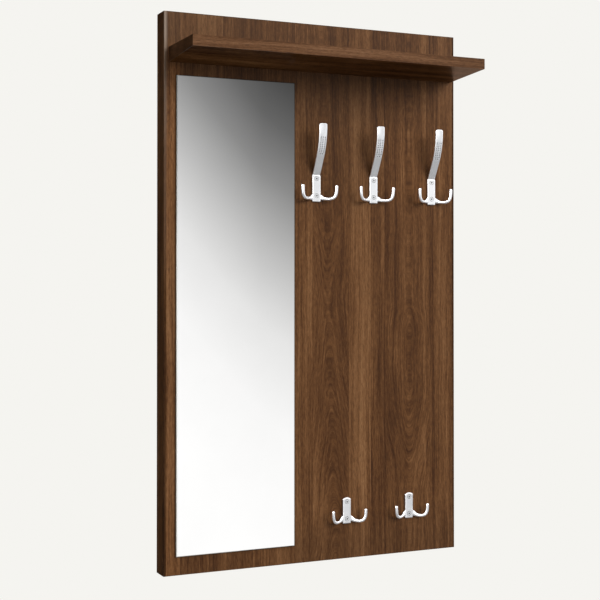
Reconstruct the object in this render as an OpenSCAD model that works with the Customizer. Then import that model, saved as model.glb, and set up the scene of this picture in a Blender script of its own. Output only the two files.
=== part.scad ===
// Wall panel with a hat shelf, a long glued mirror and five cast coat hooks.
// z is up, the wall is the plane y = 0 and the front of the panel faces -y.
// The origin lies on the wall plane, midway between the two keyholes that the panel hangs from.

/* [Panel] */

// Width of the panel over both lippings
panel_w = 597; // [585:1:640]
// Height of the panel over the top and bottom edge bands
panel_h = 1000; // [985:1:1060]
// Depth of the panel from the wall to its front face
panel_d = 38; // [36:1:42]
// Thickness of the front board
board_t = 18; // [16:1:19]
// Width of the stiles and rails glued behind the front board
frame_w = 60; // [54:1:66]
// Thickness of the solid lipping on each long edge
lipping_t = 5; // [4:0.5:8]
// Radius of the rounded front corner of each lipping
lipping_r = 2; // [1:0.5:4]
// Thickness of the bands on the top, bottom and shelf edges
band_t = 1; // [0.8:0.1:2]

/* [Mirror] */

// Width of the mirror
mirror_w = 229; // [180:1:236]
// Distance from the panel's left edge to the mirror
mirror_left = 22.5; // [14:0.5:26]
// Distance from the panel's bottom edge to the mirror
mirror_bottom = 33.5; // [10:0.5:80]
// Distance from the shelf's underside down to the mirror
mirror_gap = 23; // [8:0.5:80]
// Thickness of the mirror glass
glass_t = 4; // [3:0.5:6]
// Width of the ground arris along the front edges of the glass
arris_w = 1.2; // [0.5:0.1:2]
// Thickness of the safety film behind the glass
film_t = 0.3; // [0.2:0.1:0.6]
// Thickness of the double-sided mounting tape
tape_t = 1; // [0.6:0.1:2]
// Width of one strip of mounting tape
tape_w = 25; // [15:1:40]
// Number of vertical strips of mounting tape
tape_count = 3; // [2:1:4]
// Distance from the ends of the tape to the ends of the mirror
tape_margin = 30; // [10:1:60]

/* [Shelf] */

// Depth of the shelf from the front face of the panel
shelf_d = 125.5; // [110:0.5:150]
// Thickness of the shelf at its front edge
shelf_front_t = 19; // [16:0.5:22]
// Thickness of the shelf where it meets the panel
shelf_wall_t = 27; // [24:0.5:32]
// Distance from each side of the panel to the end of the shelf
shelf_inset = 9.5; // [4:0.5:20]
// Distance from the panel's top edge down to the shelf's top face
shelf_drop = 63; // [62:1:70]
// Distance from each end of the shelf to its outer screws
shelf_screw_inset = 98; // [90:1:120]
// Distance from each end of the shelf to its outer dowels
shelf_dowel_inset = 48; // [30:1:60]
// Radius of a shelf dowel
dowel_r = 4; // [3:0.5:5]
// Length of a shelf dowel
dowel_l = 30; // [24:1:40]
// Depth of the part of a dowel that sits in the front board
dowel_in_board = 12; // [8:1:13]

/* [Hooks] */

// Width of the hook plates
hook_w = 17.5; // [17:0.5:22]
// Width of the long arms
arm_w = 16.5; // [14:0.5:17]
// Thickness of the hook plates and of the long arms
hook_t = 4.2; // [3.8:0.1:6]
// Radius of the rounded front edges of plates and arms
hook_edge_r = 1.5; // [0.8:0.1:1.8]
// Height of the upper hooks' plate, up to the root of the arm
upper_plate_h = 50.5; // [48:0.5:60]
// Height of the lower hooks' plate
lower_plate_h = 49; // [48:0.5:60]
// Radius of the domed top of the lower hooks' plate
lower_dome_r = 12.5; // [11:0.5:30]
// Distance between the two screws of a hook
hook_screw_pitch = 32; // [28:1:34]
// Height of an upper hook's lower screw above the bottom of its plate
upper_screw_low = 11.5; // [9:0.5:12]
// Height of a lower hook's lower screw above the bottom of its plate
lower_screw_low = 9; // [8:0.5:10]
// Angle from upright at which the long arm leaves its plate
arm_lean_angle = 28; // [24:0.5:34]
// Height of the straight slanting part of the arm
arm_run_h = 30; // [20:0.5:40]
// Radius of the curve that turns the arm back to upright, on its front face
arm_bend_r = 123; // [90:1:140]
// Height of the straight tip of the arm
arm_tip_h = 6.5; // [6:0.5:14]
// Corner radius of the arm's tip
arm_tip_r = 4; // [3:0.5:5.5]
// Radius of a prong's round rod
prong_r = 3.5; // [3:0.1:4]
// Sideways reach of an upper prong, from the plate's edge to the middle of its tip
upper_reach = 26.3; // [24:0.1:29]
// Sideways reach of a lower prong, from the plate's edge to the middle of its tip
lower_reach = 25.4; // [23:0.1:28]
// Forward reach of an upper prong's tip from the middle of the plate
upper_forward = 16.2; // [13:0.1:19]
// Forward reach of a lower prong's tip from the middle of the plate
lower_forward = 12.7; // [10:0.1:16]
// Height at which the upper prongs leave the plate, above its bottom
upper_root_z = 9; // [8.5:0.1:12]
// Height at which the lower prongs leave the plate, above its bottom
lower_root_z = 9.5; // [8.5:0.1:12]
// Lowest height of the middle of an upper prong
upper_low_z = 6.5; // [4.5:0.1:8]
// Lowest height of the middle of a lower prong
lower_low_z = 5; // [4.5:0.1:8]
// Height of the middle of an upper prong's tip
upper_tip_z = 28; // [24:0.1:34]
// Height of the middle of a lower prong's tip
lower_tip_z = 24.6; // [22:0.1:32]

/* [Hook layout] */

// Distance from the mirror's right edge to the middle of the left upper hook
upper_left_gap = 45.5; // [41:0.5:60]
// Distance from the panel's right edge to the middle of the right upper hook
upper_right_gap = 53; // [44:1:70]
// Shift of the centre upper hook to the right of the middle between its neighbours
upper_centre_shift = -3.5; // [-12:0.5:12]
// Shift of the left lower hook to the right of the middle between the two hooks above it
lower_left_shift = 3; // [-12:0.5:16]
// Shift of the right lower hook to the right of the middle between the two hooks above it
lower_right_shift = 13; // [-12:0.5:16]
// Distance from the shelf's underside down to the foot of the upper hooks
upper_hook_drop = 241.5; // [170:0.5:400]
// Distance from the panel's bottom edge to the foot of the lower hooks
lower_hook_rise = 65.5; // [20:0.5:200]

/* [Fasteners] */

// Distance between a hanger plate and the stile beside it
hanger_margin = 3.5; // [1:0.5:40]
// Distance from the panel's top edge down to the keyholes
hang_drop = 33; // [32:0.5:36]
// Radius of a keyhole's round entry
keyhole_r = 5; // [4.5:0.1:5.5]
// Width of a keyhole's slot
keyhole_slot_w = 5.2; // [4.6:0.1:6]
// Height of a keyhole's slot above the centre of its entry
keyhole_rise = 11; // [9:0.5:12]
// Thickness of a hanger plate
hanger_t = 2; // [1.5:0.1:3]
// Width of a hanger plate
hanger_w = 60; // [56:1:70]
// Height of a hanger plate
hanger_h = 34; // [33:0.5:38]
// Depth of the pocket behind a hanger plate
pocket_d = 12; // [10:0.5:14]
// Radius of a hook screw's shank
hook_screw_r = 2; // [1.7:0.05:2.2]
// Radius of a hook screw's countersunk head
hook_screw_head_r = 3.8; // [3.5:0.1:4.2]
// Length of a hook screw
hook_screw_l = 19; // [16:0.5:19]
// Radius of a shelf screw's shank
shelf_screw_r = 3; // [2.5:0.1:3.5]
// Radius of a shelf screw's countersunk head
shelf_screw_head_r = 5; // [4.5:0.1:6]
// Length of a shelf screw
shelf_screw_l = 50; // [40:1:60]
// Radius of a hanger screw's shank
hanger_screw_r = 1.75; // [1.5:0.05:2]
// Radius of a hanger screw's countersunk head
hanger_screw_head_r = 3.4; // [3:0.1:3.6]
// Length of a hanger screw
hanger_screw_l = 15; // [12:0.5:15]

/* [Hidden] */

// Radial clearance around a screw shank, and around its head
screw_gap = 0.1;
// Clearance around a hanger plate in its recess
recess_gap = 0.2;
// Clearance at the end of a dowel or of a screw in its blind hole
end_gap = 0.25;
// Overshoot of a cutting solid past the face it cuts
cut = 0.5;
// Facet count of round features
fine = 48;

// Screw point as multiples of the shank's radius, cross recess as multiples of the head's size
point_length = 1.6;
point_width = 0.25;
recess_span = 1.15;
recess_width = 0.26;
recess_depth = 0.8;
recess_turn = 20;

x_left = -panel_w / 2;
x_right = panel_w / 2;
z_top = hang_drop;
z_bottom = z_top - panel_h;
y_front = -panel_d;

board_w = panel_w - 2 * lipping_t;
board_h = panel_h - 2 * band_t;
frame_t = panel_d - board_t;
rail_w = board_w - 2 * frame_w;

shelf_w = panel_w - 2 * shelf_inset;
shelf_z = z_top - shelf_drop;
shelf_under_z = shelf_z - shelf_wall_t;
shelf_mid_z = shelf_z - shelf_wall_t / 2;
shelf_slope = (shelf_wall_t - shelf_front_t) / shelf_d;
shelf_screw_x = shelf_w / 2 - shelf_screw_inset;
shelf_screws = [-shelf_screw_x, 0, shelf_screw_x];
shelf_dowel_x = shelf_w / 2 - shelf_dowel_inset;
shelf_dowels = [-shelf_dowel_x, -shelf_dowel_x / 3, shelf_dowel_x / 3, shelf_dowel_x];
dowel_chamfer = 1;

mirror_x = x_left + mirror_left;
mirror_z = z_bottom + mirror_bottom;
mirror_h = shelf_under_z - mirror_gap - mirror_z;
film_y = y_front - tape_t;
glass_y = film_y - film_t;
tape_step = (mirror_w - tape_w) / tape_count;
tape_h = mirror_h - 2 * tape_margin;

upper_z = shelf_under_z - upper_hook_drop;
lower_z = z_bottom + lower_hook_rise;
upper_left_x = mirror_x + mirror_w + upper_left_gap;
upper_right_x = x_right - upper_right_gap;
upper_centre_x = (upper_left_x + upper_right_x) / 2 + upper_centre_shift;
lower_left_x = (upper_left_x + upper_centre_x) / 2 + lower_left_shift;
lower_right_x = (upper_centre_x + upper_right_x) / 2 + lower_right_shift;
upper_places = [upper_left_x, upper_centre_x, upper_right_x];
lower_places = [lower_left_x, lower_right_x];
upper_screw_heights = [upper_screw_low, upper_screw_low + hook_screw_pitch];
lower_screw_heights = [lower_screw_low, lower_screw_low + hook_screw_pitch];

hook_back_r = 0.6;
plate_corner_r = 1.5;
arm_bend_y = hook_t + arm_run_h * tan(arm_lean_angle);
arm_bend_z = upper_plate_h + arm_run_h;
arm_end_y = arm_bend_y + arm_bend_r * (1 - cos(arm_lean_angle));
arm_end_z = arm_bend_z + arm_bend_r * sin(arm_lean_angle);

// How far the faceted arm stands inside the plate's own outline, and how deep it is rooted there
arm_step = 0.05;
arm_bury = 2;
arm_bend_count = 14;
arm_tip_count = 6;
arm_edge_count = 3;
arm_tip_bevel = 0.8;
// Angle around the tip's corners at which its last ring lies
arm_tip_angle = 86;

// Stations of a prong: share of its sideways and forward reach, share of the drop from its root
// to its lowest point, share of the rise from there to its tip, half thickness and half height
// as multiples of the rod's radius, and share of the angle that it turns forward
prong_stations = [
  [-0.17, 0.00, 1.00, 0.00, 0.54, 1.75, 0.00],
  [0.00, 0.01, 1.00, 0.00, 0.57, 1.70, 0.38],
  [0.17, 0.13, 0.45, 0.00, 0.75, 1.30, 1.07],
  [0.38, 0.37, 0.10, 0.00, 0.92, 1.04, 1.20],
  [0.61, 0.64, 0.00, 0.03, 1.00, 1.00, 1.04],
  [0.81, 0.83, 0.00, 0.17, 1.00, 1.00, 0.91],
  [0.93, 0.93, 0.00, 0.42, 1.00, 1.00, 0.82],
  [0.98, 0.98, 0.00, 0.70, 1.00, 1.00, 0.79],
  [1.00, 1.00, 0.00, 1.00, 1.00, 1.00, 0.79]];
prong_side_count = 16;
prong_step_count = 3;
// Angles of the rings that round off a prong's tip
prong_cap = [28, 52, 74];

hanger_screw_inset = 8;
hanger_screw_x = hanger_w / 2 - hanger_screw_inset;
hanger_low = 13;
hanger_corner_r = 4;
hanger_x = board_w / 2 - frame_w - hanger_margin - hanger_w / 2;
hanger_places = [-hanger_x, hanger_x];
pocket_margin = 2.5;
hanger_r = hanger_screw_r + screw_gap;

// Colours of the kinds of material
walnut = [0.33, 0.21, 0.14];
walnut_dark = [0.25, 0.16, 0.11];
chipboard = [0.72, 0.60, 0.44];
silver_glass = [0.80, 0.82, 0.83];
film_grey = [0.45, 0.47, 0.50];
tape_white = [0.88, 0.88, 0.86];
beech = [0.80, 0.64, 0.44];
cast_metal = [0.86, 0.87, 0.88];
zinc = [0.70, 0.71, 0.72];

// ---------- shared shapes ----------

// Puts the children at y = at_y, pointing forward, so that their +z runs towards -y
module facing_front(at_y) {
  translate([0, at_y, 0])
    rotate([90, 0, 0])
      children();
}

// Puts the children at y = at_y, pointing at the wall, so that their +z runs towards +y
module facing_wall(at_y) {
  translate([0, at_y, 0])
    rotate([-90, 0, 0])
      children();
}

// Rectangle with the lower left corner at the origin and the two top corners rounded
module top_rounded(w, h, r) {
  translate([-w / 2, 0])
    square([w, h - r]);
  translate([-w / 2 + r, 0])
    square([w - 2 * r, h]);
  for (side = [-1, 1])
    translate([side * (w / 2 - r), h - r])
      circle(r = r, $fn = fine);
}

// Rectangle centred on the origin with four rounded corners
module rounded(w, h, r) {
  square([w, h - 2 * r], center = true);
  square([w - 2 * r, h], center = true);
  for (sx = [-1, 1], sz = [-1, 1])
    translate([sx * (w / 2 - r), sz * (h / 2 - r)])
      circle(r = r, $fn = fine);
}

// Countersunk screw along z: the head's flat face is z = 0 and the point is at z = -length
module screw(head_r, shank_r, length) {
  head_h = head_r - shank_r;
  point_h = shank_r * point_length;
  recess_l = head_r * recess_span;
  recess_w = head_r * recess_width;
  recess_d = head_h * recess_depth;
  difference() {
    union() {
      translate([0, 0, -head_h])
        cylinder(h = head_h, r1 = shank_r, r2 = head_r, $fn = fine);
      translate([0, 0, -length + point_h])
        cylinder(h = length - point_h - head_h, r = shank_r, $fn = fine);
      translate([0, 0, -length])
        cylinder(h = point_h, r1 = shank_r * point_width, r2 = shank_r, $fn = fine);
    }
    for (turn = [0, 90])
      rotate([0, 0, turn + recess_turn])
        translate([-recess_l / 2, -recess_w / 2, -recess_d])
          cube([recess_l, recess_w, recess_d + cut]);
  }
}

// The hole for that screw, with its clearances, cut right through or down to depth
module screw_hole(head_r, shank_r, depth) {
  head_h = head_r - shank_r;
  translate([0, 0, -head_h])
    cylinder(h = head_h, r1 = shank_r + screw_gap, r2 = head_r + screw_gap, $fn = fine);
  translate([0, 0, -depth])
    cylinder(h = depth, r = shank_r + screw_gap, $fn = fine);
  cylinder(h = cut, r = head_r + screw_gap, $fn = fine);
}

// ---------- panel ----------

module front_board() {
  blind = hook_screw_l - hook_t + end_gap;
  color(walnut)
    difference() {
      translate([-board_w / 2, y_front, z_bottom + band_t])
        cube([board_w, board_t, board_h]);
      for (x = upper_places, h = upper_screw_heights)
        translate([x, 0, upper_z + h])
          facing_wall(y_front - cut)
            cylinder(h = blind + cut, r = hook_screw_r + screw_gap, $fn = fine);
      for (x = lower_places, h = lower_screw_heights)
        translate([x, 0, lower_z + h])
          facing_wall(y_front - cut)
            cylinder(h = blind + cut, r = hook_screw_r + screw_gap, $fn = fine);
      for (x = shelf_screws)
        translate([x, 0, shelf_mid_z])
          facing_wall(y_front + board_t)
            screw_hole(shelf_screw_head_r, shelf_screw_r, board_t + cut);
      for (x = shelf_dowels)
        translate([x, 0, shelf_mid_z])
          facing_wall(y_front - cut)
            cylinder(h = dowel_in_board + end_gap + cut, r = dowel_r + screw_gap, $fn = fine);
    }
}

module stile(x) {
  color(chipboard)
    translate([x, -frame_t, z_bottom + band_t])
      cube([frame_w, frame_t, board_h]);
}

module rail_blank(z) {
  translate([-rail_w / 2, -frame_t, z])
    cube([rail_w, frame_t, frame_w]);
}

module left_stile() {
  stile(-board_w / 2);
}

module right_stile() {
  stile(board_w / 2 - frame_w);
}

// Recess for one hanger plate, with the pocket for the wall screw's head behind it
module hanger_recess() {
  pocket_r = keyhole_r + pocket_margin;
  facing_wall(-hanger_t)
    linear_extrude(height = hanger_t + cut)
      mirror([0, 1])
        hanger_outline(recess_gap);
  translate([0, 0, keyhole_rise / 2])
    facing_wall(-hanger_t - pocket_d)
      linear_extrude(height = pocket_d + cut)
        rounded(2 * pocket_r, keyhole_rise + 2 * pocket_r, keyhole_r);
  for (side = [-1, 1])
    translate([side * hanger_screw_x, 0, 0])
      facing_wall(-hanger_screw_l - end_gap)
        cylinder(h = hanger_screw_l, r = hanger_r, $fn = fine);
}

module top_rail() {
  color(chipboard)
    difference() {
      rail_blank(z_top - band_t - frame_w);
      for (x = hanger_places)
        translate([x, 0, 0])
          hanger_recess();
    }
}

module bottom_rail() {
  color(chipboard)
    rail_blank(z_bottom + band_t);
}

// Lipping with its outer front corner rounded: the outer face is x = 0, the body runs to +x
module lipping() {
  translate([0, 0, z_bottom])
    linear_extrude(height = panel_h) {
      translate([0, y_front + lipping_r])
        square([lipping_t, panel_d - lipping_r]);
      translate([lipping_r, y_front])
        square([max(lipping_t - lipping_r, cut), panel_d]);
      translate([lipping_r, y_front + lipping_r])
        circle(r = lipping_r, $fn = fine);
    }
}

module left_lipping() {
  color(walnut_dark)
    intersection() {
      translate([x_left, 0, 0])
        lipping();
      translate([x_left, y_front, z_bottom])
        cube([lipping_t, panel_d, panel_h]);
    }
}

module right_lipping() {
  color(walnut_dark)
    mirror([1, 0, 0])
      intersection() {
        translate([x_left, 0, 0])
          lipping();
        translate([x_left, y_front, z_bottom])
          cube([lipping_t, panel_d, panel_h]);
      }
}

module edge_band(z) {
  color(walnut_dark)
    translate([-board_w / 2, y_front, z])
      cube([board_w, panel_d, band_t]);
}

module top_band() {
  edge_band(z_top - band_t);
}

module bottom_band() {
  edge_band(z_bottom);
}

// ---------- mirror ----------

// Section of the glass with its two front corners ground off: depth runs towards +y
module arris_section(w) {
  polygon([
    [0, 0],
    [w, 0],
    [w, glass_t - arris_w],
    [w - arris_w, glass_t],
    [arris_w, glass_t],
    [0, glass_t - arris_w]]);
}

module mirror_glass() {
  color(silver_glass)
    translate([mirror_x, glass_y, mirror_z])
      intersection() {
        mirror([0, 1, 0])
          linear_extrude(height = mirror_h)
            arris_section(mirror_w);
        translate([mirror_w, 0, 0])
          rotate([0, -90, 0])
            mirror([0, 1, 0])
              linear_extrude(height = mirror_w)
                arris_section(mirror_h);
      }
}

module mirror_film() {
  color(film_grey)
    translate([mirror_x, film_y - film_t, mirror_z])
      cube([mirror_w, film_t, mirror_h]);
}

module mirror_tape() {
  color(tape_white)
    for (i = [0 : tape_count - 1])
      translate([mirror_x + tape_step * (i + 0.5), y_front - tape_t, mirror_z + tape_margin])
        cube([tape_w, tape_t, tape_h]);
}

// ---------- shelf ----------

// Height of the shelf's underside below its top face, at a distance from the panel
function shelf_under(distance) = -shelf_wall_t + shelf_slope * distance;

// Side outline of the shelf between two distances from the panel, extruded along x
module shelf_slice(x, w, near, far) {
  translate([x + w, y_front, shelf_z])
    rotate([90, 0, -90])
      linear_extrude(height = w)
        polygon([[near, 0], [near, shelf_under(near)], [far, shelf_under(far)], [far, 0]]);
}

module shelf_board() {
  core_w = shelf_w - 2 * band_t;
  screw_in = shelf_screw_l - board_t + end_gap;
  dowel_in = dowel_l - dowel_in_board + end_gap;
  color(walnut)
    difference() {
      shelf_slice(-core_w / 2, core_w, 0, shelf_d - band_t);
      for (x = shelf_screws)
        translate([x, 0, shelf_mid_z])
          facing_front(y_front + cut)
            cylinder(h = screw_in + cut, r = shelf_screw_r + screw_gap, $fn = fine);
      for (x = shelf_dowels)
        translate([x, 0, shelf_mid_z])
          facing_front(y_front + cut)
            cylinder(h = dowel_in + cut, r = dowel_r + screw_gap, $fn = fine);
    }
}

module shelf_front_band() {
  color(walnut)
    shelf_slice(-shelf_w / 2, shelf_w, shelf_d - band_t, shelf_d);
}

module shelf_left_band() {
  color(walnut_dark)
    shelf_slice(-shelf_w / 2, band_t, 0, shelf_d - band_t);
}

module shelf_right_band() {
  color(walnut_dark)
    shelf_slice(shelf_w / 2 - band_t, band_t, 0, shelf_d - band_t);
}

module dowel() {
  cylinder(h = dowel_chamfer, r1 = dowel_r - dowel_chamfer, r2 = dowel_r, $fn = fine);
  translate([0, 0, dowel_chamfer])
    cylinder(h = dowel_l - 2 * dowel_chamfer, r = dowel_r, $fn = fine);
  translate([0, 0, dowel_l - dowel_chamfer])
    cylinder(h = dowel_chamfer, r1 = dowel_r, r2 = dowel_r - dowel_chamfer, $fn = fine);
}

module shelf_dowels() {
  color(beech)
    for (x = shelf_dowels)
      translate([x, 0, shelf_mid_z])
        facing_front(y_front + dowel_in_board)
          dowel();
}

module shelf_screws() {
  color(zinc)
    for (x = shelf_screws)
      translate([x, 0, shelf_mid_z])
        facing_wall(y_front + board_t)
          screw(shelf_screw_head_r, shelf_screw_r, shelf_screw_l);
}

// ---------- hooks ----------
// A hook is drawn with its plate's back on y = 0, its front towards +y and its foot on z = 0.

// Cross-section of a plate or arm: back on y = 0, front edges rounded
module bar_section() {
  intersection() {
    top_rounded(hook_w, hook_t, hook_edge_r);
    translate([0, hook_back_r])
      union() {
        translate([-hook_w / 2, 0])
          square([hook_w, hook_t]);
        translate([-hook_w / 2 + hook_back_r, -hook_back_r])
          square([hook_w - 2 * hook_back_r, hook_t]);
        for (side = [-1, 1])
          translate([side * (hook_w / 2 - hook_back_r), 0])
            circle(r = hook_back_r, $fn = fine);
      }
  }
}

// Closed skin over a list of rings with the same number of points, capped at both ends
module skin(rings) {
  sides = len(rings[0]);
  count = len(rings);
  points = [for (ring = rings, point = ring) point];
  lower = [for (i = [0 : count - 2], k = [0 : sides - 1])
    [i * sides + k, i * sides + (k + 1) % sides, (i + 1) * sides + (k + 1) % sides]];
  upper = [for (i = [0 : count - 2], k = [0 : sides - 1])
    [i * sides + k, (i + 1) * sides + (k + 1) % sides, (i + 1) * sides + k]];
  first = [for (k = [sides - 1 : -1 : 0]) k];
  last = [for (k = [0 : sides - 1]) (count - 1) * sides + k];
  polyhedron(points = points, faces = concat(lower, upper, [first, last]), convexity = 6);
}

// Section of the arm, as offsets [x, inward from the front face], for a half width and a bevel
function arm_section(half, bevel) =
  let (r = hook_edge_r, w = half - arm_step, back = hook_t - arm_step, b = hook_back_r)
  concat(
    [for (k = [0 : arm_edge_count]) let (a = 90 * k / arm_edge_count)
      [w - r + r * sin(a), bevel + arm_step + r - r * cos(a)]],
    [[w, back - b - bevel], [w - b, back - bevel], [b - w, back - bevel], [-w, back - b - bevel]],
    [for (k = [0 : arm_edge_count]) let (a = 90 - 90 * k / arm_edge_count)
      [-(w - r + r * sin(a)), bevel + arm_step + r - r * cos(a)]]);

// One ring of the arm: the front face passes [y, z] and leans forward by the angle lean
function arm_ring(y, z, lean, stretch, half, bevel) =
  [for (s = arm_section(half, bevel))
    [s[0], y - s[1] * stretch * cos(lean), z + s[1] * stretch * sin(lean)]];

// Half width of the arm's tip at a height above the end of the curve
function tip_half(h) =
  let (rise = max(0, h - arm_tip_h + arm_tip_r))
  arm_w / 2 - arm_tip_r + sqrt(max(0, arm_tip_r * arm_tip_r - rise * rise));

// Long arm: a crease at the plate, a straight slanting run, a curve back to upright, a tip
module arm() {
  half = arm_w / 2;
  centre_y = arm_end_y - arm_bend_r;
  crease_lean = arm_lean_angle / 2;
  foot = [
    arm_ring(hook_t, upper_plate_h - arm_bury, 0, 1, half, 0),
    arm_ring(hook_t, upper_plate_h, crease_lean, 1 / cos(crease_lean), half, 0)];
  bend = [for (k = [0 : arm_bend_count])
    let (a = arm_lean_angle * (1 - k / arm_bend_count))
    arm_ring(centre_y + arm_bend_r * cos(a), arm_end_z - arm_bend_r * sin(a), a, 1, half, 0)];
  tip = [for (k = [1 : arm_tip_count])
    let (h = arm_tip_h - arm_tip_r + arm_tip_r * sin(arm_tip_angle * k / arm_tip_count))
    arm_ring(arm_end_y, arm_end_z + h, 0, 1, tip_half(h), k == arm_tip_count ? arm_tip_bevel : 0)];
  skin(concat(foot, bend, tip));
}

// Plate outline seen from the front: rounded bottom corners, and a domed top or a square one
module plate_outline(height, domed) {
  intersection() {
    translate([0, height])
      mirror([0, 1])
        top_rounded(hook_w, height, plate_corner_r);
    if (domed)
      union() {
        translate([-hook_w / 2, 0])
          square([hook_w, height - lower_dome_r]);
        translate([0, height - lower_dome_r])
          circle(r = lower_dome_r, $fn = 2 * fine);
      }
    else
      translate([-hook_w / 2, 0])
        square([hook_w, height]);
  }
}

module plate(height, domed) {
  intersection() {
    linear_extrude(height = height)
      bar_section();
    translate([0, hook_t + cut, 0])
      rotate([90, 0, 0])
        linear_extrude(height = hook_t + 2 * cut)
          plate_outline(height, domed);
  }
}

// Smooth curve through four stations, between the second and the third
function blend(a, b, c, d, t) =
  0.5 * (2 * b + (c - a) * t + (2 * a - 5 * b + 4 * c - d) * t * t + (3 * b - a - 3 * c + d) * t * t * t);

function unit(v) = v / norm(v);

// Stations of a prong in place: [x, y, z, half thickness, half height, turn]
function prong_keys(reach, forward, root_z, low_z, tip_z) =
  [for (s = prong_stations)
    [hook_w / 2 + reach * s[0], hook_t / 2 + forward * s[1],
      low_z + (root_z - low_z) * s[2] + (tip_z - low_z) * s[3],
      prong_r * s[4], prong_r * s[5], atan2(forward, reach) * s[6]]];

// The same list with steps in between
function refined(keys) =
  let (last = len(keys) - 1)
  concat(
    [for (i = [0 : last - 1], k = [0 : prong_step_count - 1])
      blend(keys[max(i - 1, 0)], keys[i], keys[i + 1], keys[min(i + 2, last)], k / prong_step_count)],
    [keys[last]]);

function place(s) = [s[0], s[1], s[2]];

// Ring of an oval section across the direction ahead
function prong_ring(at, ahead, half_t, half_h, turn) =
  let (side = [-sin(turn), cos(turn), 0], up = unit(cross(ahead, side)))
  [for (k = [0 : prong_side_count - 1]) let (a = 360 * k / prong_side_count)
    at + side * half_t * cos(a) - up * half_h * sin(a)];

// Right-hand prong in the hook's place: a flat flared root that turns into a round rod
module prong(reach, forward, root_z, low_z, tip_z) {
  path = refined(prong_keys(reach, forward, root_z, low_z, tip_z));
  last = len(path) - 1;
  finish = unit(place(path[last]) - place(path[last - 1]));
  body = [for (i = [0 : last])
    let (ahead = unit(place(path[min(i + 1, last)]) - place(path[max(i - 1, 0)])), s = path[i])
    prong_ring(place(s), ahead, s[3], s[4], s[5])];
  cap = [for (a = prong_cap)
    prong_ring(place(path[last]) + finish * prong_r * sin(a), finish,
      prong_r * cos(a), prong_r * cos(a), path[last][5])];
  skin(concat(body, cap));
}

module hook_holes(heights) {
  for (h = heights)
    translate([0, hook_t, h])
      rotate([-90, 0, 0])
        screw_hole(hook_screw_head_r, hook_screw_r, hook_t + cut);
}

module upper_hook() {
  difference() {
    union() {
      plate(upper_plate_h, false);
      arm();
      for (side = [0, 1])
        mirror([side, 0, 0])
          prong(upper_reach, upper_forward, upper_root_z, upper_low_z, upper_tip_z);
    }
    hook_holes(upper_screw_heights);
  }
}

module lower_hook() {
  difference() {
    union() {
      plate(lower_plate_h, true);
      for (side = [0, 1])
        mirror([side, 0, 0])
          prong(lower_reach, lower_forward, lower_root_z, lower_low_z, lower_tip_z);
    }
    hook_holes(lower_screw_heights);
  }
}

// Stands a hook on the panel's face at x, with its foot at z
module on_panel(x, z) {
  translate([x, y_front, z])
    rotate([0, 0, 180])
      children();
}

module upper_hook_left() {
  color(cast_metal)
    on_panel(upper_places[0], upper_z)
      upper_hook();
}

module upper_hook_centre() {
  color(cast_metal)
    on_panel(upper_places[1], upper_z)
      upper_hook();
}

module upper_hook_right() {
  color(cast_metal)
    on_panel(upper_places[2], upper_z)
      upper_hook();
}

module lower_hook_left() {
  color(cast_metal)
    on_panel(lower_places[0], lower_z)
      lower_hook();
}

module lower_hook_right() {
  color(cast_metal)
    on_panel(lower_places[1], lower_z)
      lower_hook();
}

module hook_screws(places, z, heights) {
  color(zinc)
    for (x = places, h = heights)
      translate([x, 0, z + h])
        facing_front(y_front - hook_t)
          screw(hook_screw_head_r, hook_screw_r, hook_screw_l);
}

module upper_hook_screws() {
  hook_screws(upper_places, upper_z, upper_screw_heights);
}

module lower_hook_screws() {
  hook_screws(lower_places, lower_z, lower_screw_heights);
}

// ---------- hangers ----------

// Outline of a hanger plate around the keyhole's entry at the origin, up is +y
module hanger_outline(grow) {
  translate([0, hanger_h / 2 - hanger_low])
    rounded(hanger_w + 2 * grow, hanger_h + 2 * grow, hanger_corner_r);
}

module hanger(x) {
  color(zinc)
    translate([x, 0, 0])
      difference() {
        facing_wall(-hanger_t)
          linear_extrude(height = hanger_t)
            mirror([0, 1])
              difference() {
                hanger_outline(0);
                circle(r = keyhole_r, $fn = fine);
                translate([-keyhole_slot_w / 2, 0])
                  square([keyhole_slot_w, keyhole_rise]);
                translate([0, keyhole_rise])
                  circle(r = keyhole_slot_w / 2, $fn = fine);
              }
        for (side = [-1, 1])
          translate([side * hanger_screw_x, 0, 0])
            facing_wall(0)
              screw_hole(hanger_screw_head_r, hanger_screw_r, hanger_t + cut);
      }
}

module left_hanger() {
  hanger(hanger_places[0]);
}

module right_hanger() {
  hanger(hanger_places[1]);
}

module hanger_screws() {
  color(zinc)
    for (x = hanger_places, side = [-1, 1])
      translate([x + side * hanger_screw_x, 0, 0])
        facing_wall(0)
          screw(hanger_screw_head_r, hanger_screw_r, hanger_screw_l);
}

front_board();
left_stile();
right_stile();
top_rail();
bottom_rail();
left_lipping();
right_lipping();
top_band();
bottom_band();
mirror_glass();
mirror_film();
mirror_tape();
shelf_board();
shelf_front_band();
shelf_left_band();
shelf_right_band();
shelf_dowels();
shelf_screws();
upper_hook_left();
upper_hook_centre();
upper_hook_right();
lower_hook_left();
lower_hook_right();
upper_hook_screws();
lower_hook_screws();
left_hanger();
right_hanger();
hanger_screws();
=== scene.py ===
import math

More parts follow.
